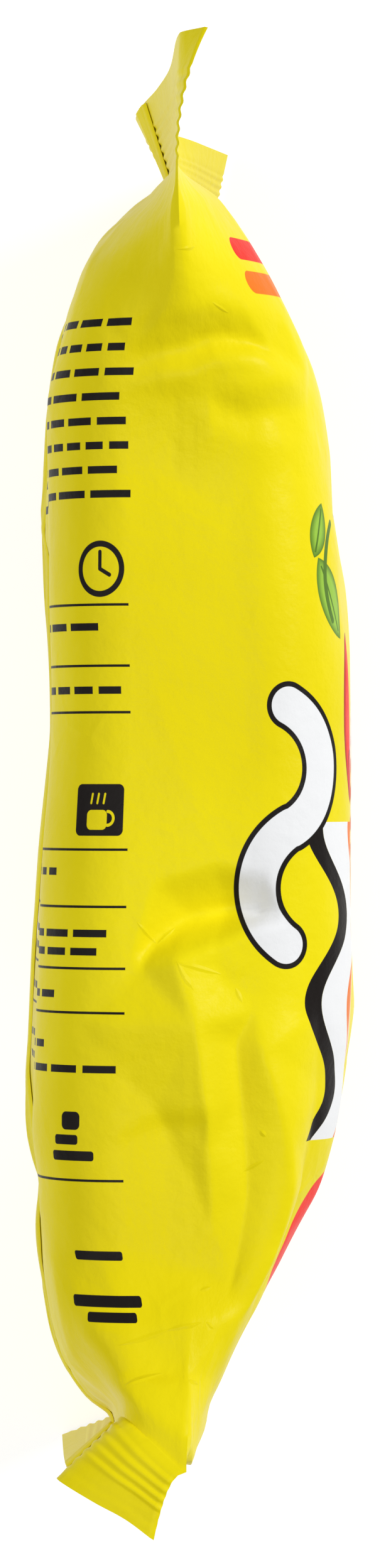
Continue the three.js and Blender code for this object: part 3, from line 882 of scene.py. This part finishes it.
def filmPlaces():  # the distances round and along at which the film is divided
    half = places(
        (0, panelStart, filmGrid["shown"]), (panelStart, panelEnd, filmGrid["panel"]),
        (panelEnd, halfGirth, filmGrid["rest"]),
    )
    length = tube["bodyLength"]
    low, high = bottomSeal["ribs"], topSeal["ribs"]
    lowLast, highLast = (r["first"] + r["count"] * r["pitch"] for r in (low, high))
    along = places(
        (-bottomSeal["height"], -lowLast, filmGrid["margin"]),
        (-lowLast, -low["first"], low["count"] * filmGrid["perRib"]), (-low["first"], 0, 2),
        (0, length, filmGrid["body"]), (length, length + high["first"], 2),
        (length + high["first"], length + highLast, high["count"] * filmGrid["perRib"]),
        (length + highLast, length + topSeal["height"], filmGrid["margin"]),
    )
    # Round the tube: down the front panel from the shown side, then back up the back panel
    return np.concatenate([half, -half[1:-1][::-1]]), along


def tubeFaces(rows, columns):  # a tube pinched shut at both ends
    j, i = np.meshgrid(np.arange(columns), np.arange(rows - 1))
    corner = lambda di, dj: (i + di) * columns + (j + dj) % columns
    around = [corner(0, 0), corner(0, 1), corner(1, 1), corner(1, 0)]
    sides = np.stack(around, axis=-1).reshape(-1, 4).tolist()
    last = (rows - 1) * columns
    ends = []
    for k in range(columns // 2):
        low = [(columns - k) % columns, columns - k - 1, k + 1, k]
        ends += [low, [last + v for v in reversed(low)]]
    return sides, [list(dict.fromkeys(end)) for end in ends]


def filmPiece(name, points, spots, sides, ends, zones, reach, towards):
    mesh = bpy.data.meshes.new(name)
    mesh.from_pydata((points.reshape(-1, 3) * mm).tolist(), [], sides + ends)
    endSpots = spots.reshape(-1, 2)[[v for end in ends for v in end]]
    onFilm = np.concatenate([sideSpots(spots).reshape(-1, 2), endSpots])
    layer = mesh.uv_layers.new(name="film")  # in metres, with the middle of the film at 0.5
    layer.uv.foreach_set("vector", (onFilm * mm + 0.5).astype(np.float32).ravel())
    allZones = np.append(zones, [printZones["edge"]] * len(ends))
    held = {
        "sealReach": ("FLOAT", "POINT", "value", reach.astype(np.float32)),
        "sealFacing": ("FLOAT_VECTOR", "POINT", "vector", towards.astype(np.float32)),
        "printZone": ("INT", "FACE", "value", allZones.astype(np.int32)),
    }
    for label, (kind, domain, part, values) in held.items():
        mesh.attributes.new(label, kind, domain).data.foreach_set(part, values.ravel())
    mesh.shade_smooth()
    mesh.set_sharp_from_angle(angle=math.radians(55))
    piece = bpy.data.objects.new(name, mesh)
    bpy.context.scene.collection.objects.link(piece)
    return piece


def sideSpots(spots):  # the spots of each side face's corners, with no face running across the print
    half = spots.shape[1] // 2
    left, right = spots.copy(), np.roll(spots, -1, axis=1)
    if spots[0, half + 1, 0] < 0:
        left[:, half, 0] = -np.abs(left[:, half, 0])
    return np.stack([left[:-1], right[:-1], right[1:], left[1:]], axis=2)


class Surface:  # the finished film, read at any place on it
    def __init__(self, around, along, points):
        order = np.argsort(around)
        self.around, self.along, self.points = around[order], along, points[:, order]
        across, onward = np.gradient(self.points, axis=1), np.gradient(self.points, axis=0)
        self.outward = unit(np.cross(across, onward))

    def read(self, field, around, along):
        j = np.clip(np.searchsorted(self.around, around) - 1, 0, len(self.around) - 2)
        i = np.clip(np.searchsorted(self.along, along) - 1, 0, len(self.along) - 2)
        tj = ((around - self.around[j]) / (self.around[j + 1] - self.around[j]))[..., None]
        ti = ((along - self.along[i]) / (self.along[i + 1] - self.along[i]))[..., None]
        near = lerp(field[i, j], field[i, j + 1], tj)
        far = lerp(field[i + 1, j], field[i + 1, j + 1], tj)
        return lerp(near, far, ti)

    def above(self, around, along, height):
        outward = self.read(self.outward, around, along)
        return self.read(self.points, around, along) + outward * height[..., None], outward


def packetFilm():
    around, along = filmPlaces()
    a, s = np.meshgrid(around, along)
    a[:, 0] = 1e-6
    points = film(a, s)
    length = tube["bodyLength"]
    reach = np.where(s < 0, -s, np.where(s > length, s - length, -9))
    up = 1 - np.abs(a) / halfGirth
    low = sealFacing(bottomSeal, up, np.clip(-s / bottomSeal["height"], 0, 1))
    high = sealFacing(topSeal, up, np.clip((s - length) / topSeal["height"], 0, 1))
    towards = np.where((s < 0)[..., None], low, high)
    spots = np.stack([a, points[..., 1]], axis=-1)
    middle = sideSpots(spots)[..., 0].mean(axis=-1).ravel()
    zones = np.where(middle < -printStart, printZones["back"], printZones["side"])
    zones = np.where(middle > printStart, printZones["front"], zones)
    sides, ends = tubeFaces(*a.shape)
    print("film mesh", a.shape)
    piece = filmPiece("packetFilm", points, spots, sides, ends, zones, reach, towards)
    return piece, Surface(around, along, points)


lapSeal = {
    "width": 11,
    "step": 0.3,  # its fold stands this far off the panel
    "thickness": 0.3,
    "freeEdge": 0.6,  # the free edge lifts up to this far
    "waver": 0.4,  # and this share less, in waves
    "freeStart": 0.35,  # beyond this share of the width
    "freeRoot": 16,  # and fully this far from the end seals
    "seed": 23, "wave": 34,
    "foldShare": 0.1,  # it rises to its step in this share of its width
    "edgeSharpness": 20,  # its long edges thin out in one part of this many of half its width
    "inset": 0.4,  # its ends stop just short of the end seals' cut edges
    "ribs": {"count": 6, "pitch": 1.45, "first": 1.2, "depth": 0.1},
    "across": 48, "along": 300,
}


def lapSealStrip(surface):
    p = lapSeal
    across = np.linspace(-p["width"] / 2, p["width"] / 2, p["across"] + 1)
    ring = np.concatenate([across, across[1:-1][::-1]])
    ends = p["across"]
    length = tube["bodyLength"]
    low, high = p["inset"] - bottomSeal["height"], length + topSeal["height"] - p["inset"]
    along = np.linspace(low, high, p["along"])
    t, s = np.meshgrid(ring, along)
    fromFold = (p["width"] / 2 - t) / p["width"]
    fromRoot = np.clip(np.minimum(s, length - s), 0, None)
    wave = Noise(p["seed"])(s / p["wave"] + 5, 0 * s + 3)
    loose = p["freeEdge"] * (1 - p["waver"] + p["waver"] * wave) * smooth(fromRoot, 0, p["freeRoot"])
    loose = loose * smooth(fromFold, p["freeStart"], 1)
    height = p["step"] * smooth(fromFold, 0, p["foldShare"]) + loose
    inner = np.arange(len(ring)) > ends
    edge = np.minimum(1, (1 - np.abs(t) / (p["width"] / 2)) * p["edgeSharpness"])
    height = height + np.where(inner, -0.5, 0.5) * p["thickness"] * edge
    points, outward = surface.above(-finMiddle + t, s, height + p["thickness"] / 2)
    spots = np.stack([t, points[..., 1]], axis=-1)
    sides, caps = tubeFaces(*t.shape)
    zones = np.full(len(sides), printZones["side"])
    return filmPiece("lapSeal", points, spots, sides, caps, zones, p["width"] / 2 - t, outward)


def dressed(piece, *nodes):  # every piece of film rides with the packet, and the model.glb parts it stands in for are hidden
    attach(piece, "root")
    if nodes:
        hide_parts(*nodes)


print("film")
ribTree = pressedRibs()
packet, surface = packetFilm()
dressed(pressed(packet, ribTree, topSeal["ribs"]), "packet")
print("lap seal")
dressed(pressed(lapSealStrip(surface), ribTree, lapSeal["ribs"]))


camera = {"height": 0.869, "focalPixels": 9099, "frameHeight": 2497, "sensor": 24}


def addCamera():
    data = bpy.data.cameras.new("camera")
    data.sensor_fit = "VERTICAL"
    data.sensor_height = camera["sensor"]
    data.lens = camera["focalPixels"] / camera["frameHeight"] * camera["sensor"]
    seen = bpy.data.objects.new("camera", data)
    seen.location = (0, 0, camera["height"])
    bpy.context.scene.collection.objects.link(seen)
    bpy.context.scene.camera = seen


worldLight = 0.26
aimHeight = 0.06  # the lamps look at a point this high
lamps = {
    "key": {"place": (0.75, 0.4, 0.7), "size": 0.3, "watts": 7},
    "fill": {"place": (-0.8, -0.1, 0.9), "size": 0.9, "watts": 3.2},
    "high": {"place": (-0.1, -0.15, 1.1), "size": 0.3, "watts": 1.9},
}


def addLights():
    for name, lamp in lamps.items():
        data = bpy.data.lights.new(name, "AREA")
        data.size, data.energy = lamp["size"], lamp["watts"]
        light = bpy.data.objects.new(name, data)
        light.location = lamp["place"]
        bpy.context.scene.collection.objects.link(light)
        light.rotation_euler = aimed(lamp["place"])
    world = bpy.data.worlds.new("studio")
    world.use_nodes = True
    world.node_tree.nodes["Background"].inputs["Color"].default_value = (1, 1, 1, 1)
    world.node_tree.nodes["Background"].inputs["Strength"].default_value = worldLight
    bpy.context.scene.world = world
    bpy.context.scene.view_settings.view_transform = "Standard"


def aimed(place):  # turned to look at the middle of the packet
    x, y, z = place[0], place[1], place[2] - aimHeight
    return (math.atan2(math.hypot(x, y), z), 0, math.atan2(x, -y))


floorLook = {"reach": 3, "drop": 0.0002, "roughness": 0.9, "glow": 0.74}


def addFloor():
    mesh = bpy.data.meshes.new("floor")
    reach = floorLook["reach"]
    corners = [(-reach, -reach, 0), (reach, -reach, 0), (reach, reach, 0), (-reach, reach, 0)]
    mesh.from_pydata(corners, [], [(0, 1, 2, 3)])
    floor = bpy.data.objects.new("floor", mesh)
    bpy.context.scene.collection.objects.link(floor)
    material = newMaterial("paleFloor")
    look = {"Base Color": colour(170, 170, 170), "Roughness": floorLook["roughness"]}
    glow = {"Emission Color": (1, 1, 1, 1), "Emission Strength": floorLook["glow"]}
    Tree(material.node_tree).shaded({**look, **glow})
    mesh.materials.append(material)
    floor.location.z = -floorLook["drop"]


addCamera()
addLights()
addFloor()
bpy.context.view_layer.update()
print("done")
